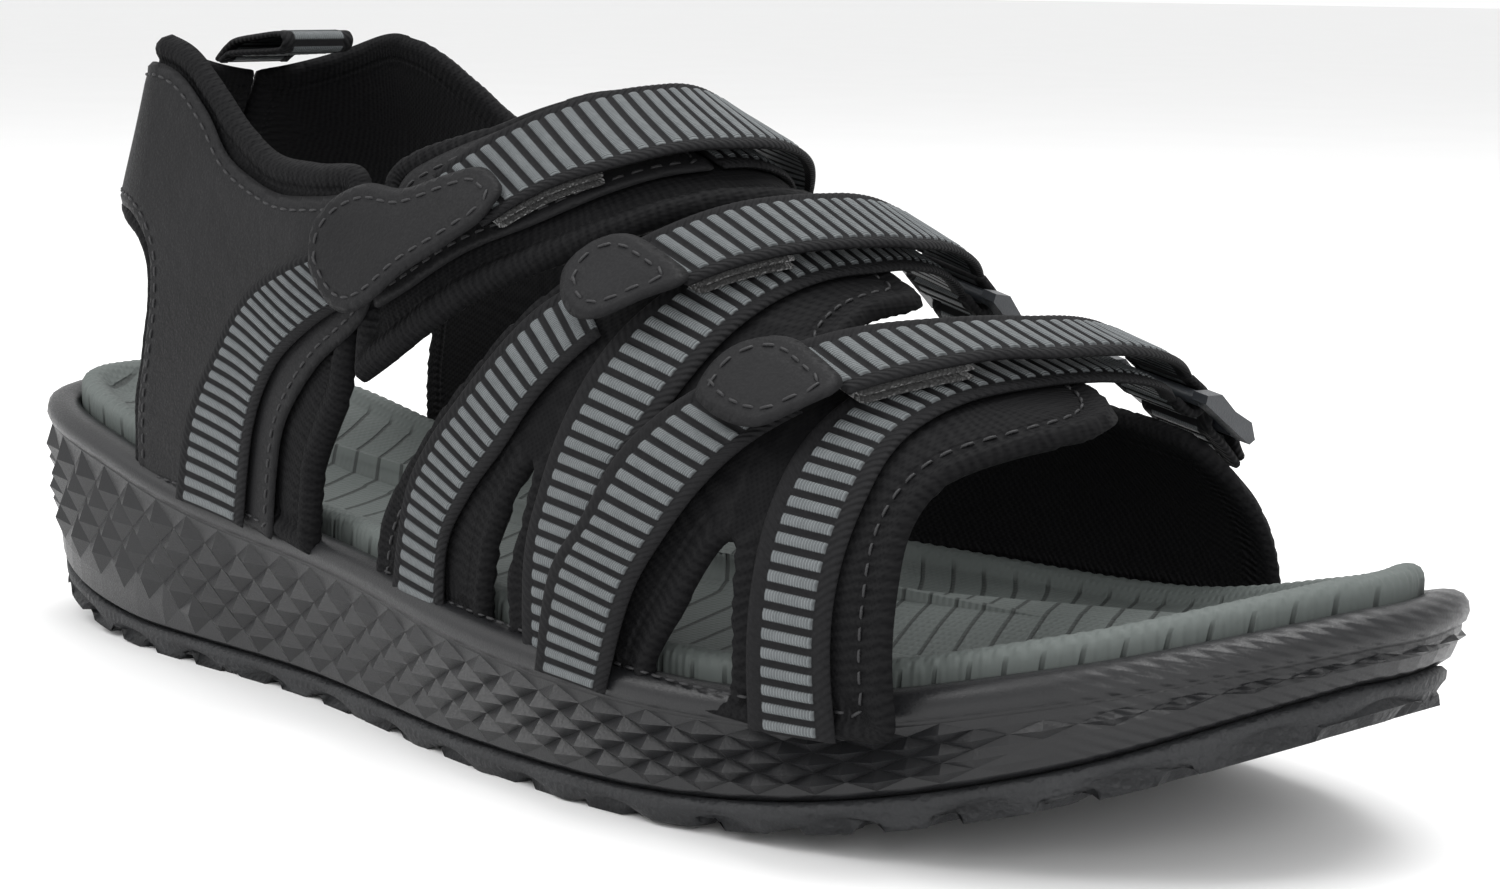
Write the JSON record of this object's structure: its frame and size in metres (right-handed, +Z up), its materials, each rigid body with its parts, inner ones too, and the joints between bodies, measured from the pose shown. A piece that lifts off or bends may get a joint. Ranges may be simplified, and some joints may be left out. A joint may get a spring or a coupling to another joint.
{
  "type": "strappy sport sandal",
  "caption": "Open-toe, open-heel sport sandal with hook-and-loop webbing straps through tilting rings, a padded upper and a cushioned moulded sole.",
  "frame": {"origin": "on the flat of the tread, under the middle of the shoe's length", "axes": "+X towards the toe, +Y towards the inner side of the foot, +Z up"},
  "size_m": [0.2916, 0.106, 0.1124],
  "materials": {
    "rubber_dark": "matt tread rubber",
    "eva_black": "satin moulded foam",
    "footbed_foam": "matt moulded foam",
    "board": "fibre board",
    "microfibre": "matt microfibre",
    "stretch_lining": "stretch knit over thin foam",
    "webbing": "ribbed woven webbing, grey ribs on black",
    "hook_and_loop": "hook and loop tape",
    "ring_plastic": "satin moulded nylon"
  },
  "bodies": {
    "upper": {"footbed": "footbed_foam", "front_keeper": "webbing", "front_loop_tape": "hook_and_loop", "inner_arm_pad": "stretch_lining", "inner_forefoot_panel": "stretch_lining", "inner_lining": "stretch_lining", "inner_quarter": "microfibre", "inner_webbing": "webbing", "instep_cover": "microfibre", "instep_keeper": "webbing", "instep_loop_tape": "hook_and_loop", "instep_pad": "stretch_lining", "instep_strap_leg": "webbing", "lasting_board": "board", "middle_keeper": "webbing", "middle_loop_tape": "hook_and_loop", "midsole": "eva_black", "outer_forefoot_panel": "stretch_lining", "outer_lining": "stretch_lining", "outer_quarter": "microfibre", "outsole": "rubber_dark", "pull_loop_tail": "webbing", "webbing_1": "webbing", "webbing_2": "webbing", "webbing_3": "webbing", "webbing_4": "webbing", "webbing_5": "webbing"},
    "instep_ring": {"instep_ring": "ring_plastic", "instep_fold": "webbing"},
    "instep_strap": {"instep_strap": "webbing", "instep_hook_tape": "hook_and_loop", "instep_tab": "microfibre"},
    "middle_ring": {"middle_ring": "ring_plastic", "middle_fold": "webbing"},
    "middle_strap": {"middle_strap": "webbing", "middle_hook_tape": "hook_and_loop", "middle_tab": "microfibre"},
    "front_ring": {"front_ring": "ring_plastic", "front_fold": "webbing"},
    "front_strap": {"front_strap": "webbing", "front_hook_tape": "hook_and_loop", "front_tab": "microfibre"},
    "pull_loop": {"heel_pull_loop": "webbing"}
  },
  "joints": [
    {"name": "instep_ring_tilt", "type": "hinge", "parent": "upper", "child": "instep_ring", "pos_m": [0.0028, 0.03359, 0.07524], "axis": [-0.9859, 0.128, 0.1075], "range_deg": [0, 40], "deforming": ["instep_strap_leg"]},
    {"name": "instep_strap_open", "type": "hinge", "parent": "instep_ring", "child": "instep_strap", "pos_m": [0.00295, 0.0277, 0.08356], "axis": [-0.9859, 0.128, 0.1075], "range_deg": [0, 110], "deforming": ["instep_fold"]},
    {"name": "middle_ring_tilt", "type": "hinge", "parent": "upper", "child": "middle_ring", "pos_m": [0.04099, 0.03659, 0.06704], "axis": [-0.9751, 0.0921, 0.2018], "range_deg": [0, 40], "deforming": ["webbing_3"]},
    {"name": "middle_strap_open", "type": "hinge", "parent": "middle_ring", "child": "middle_strap", "pos_m": [0.0416, 0.02876, 0.07355], "axis": [-0.9751, 0.0921, 0.2018], "range_deg": [0, 110], "deforming": ["middle_fold"]},
    {"name": "front_ring_tilt", "type": "hinge", "parent": "upper", "child": "front_ring", "pos_m": [0.08158, 0.04102, 0.05512], "axis": [-0.9812, 0.0998, 0.1652], "range_deg": [0, 40], "deforming": ["webbing_5"]},
    {"name": "front_strap_open", "type": "hinge", "parent": "front_ring", "child": "front_strap", "pos_m": [0.08163, 0.03242, 0.06062], "axis": [-0.9812, 0.0998, 0.1652], "range_deg": [0, 110], "deforming": ["front_fold"]},
    {"name": "pull_loop_tip", "type": "hinge", "parent": "upper", "child": "pull_loop", "pos_m": [-0.10794, -0.00105, 0.10643], "axis": [0, -1, 0], "range_deg": [0, 95], "stiffness_Nm_per_rad": 0.004}
  ]
}
